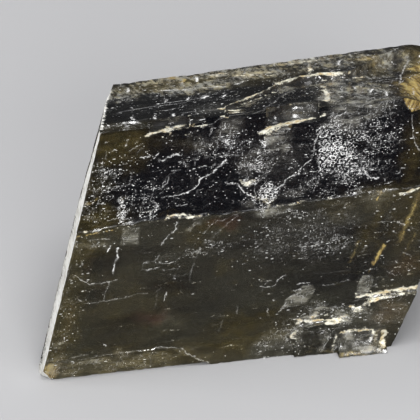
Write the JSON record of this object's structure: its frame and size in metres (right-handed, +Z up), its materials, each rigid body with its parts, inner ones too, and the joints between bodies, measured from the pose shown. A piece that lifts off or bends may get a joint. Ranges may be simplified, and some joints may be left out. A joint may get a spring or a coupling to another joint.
{
  "type": "siderite crystal",
  "caption": "Dark cleavage rhomb of siderite with stepped breaks, chipped corners and a flat underside that it rests on.",
  "frame": {"origin": "centre of the overall box in X and Y, at the level of the flat underside", "axes": "+X along the long front edge of the rhomb, to the right seen from the front; +Y from the front face to the back; +Z up"},
  "size_m": [0.0312, 0.014, 0.0181],
  "materials": {
    "siderite": "near-black glassy cleavage faces, golden brown where thin, with pale cracks and step edges"
  },
  "bodies": {
    "root": {"siderite_crystal": "siderite"}
  },
  "joints": []
}
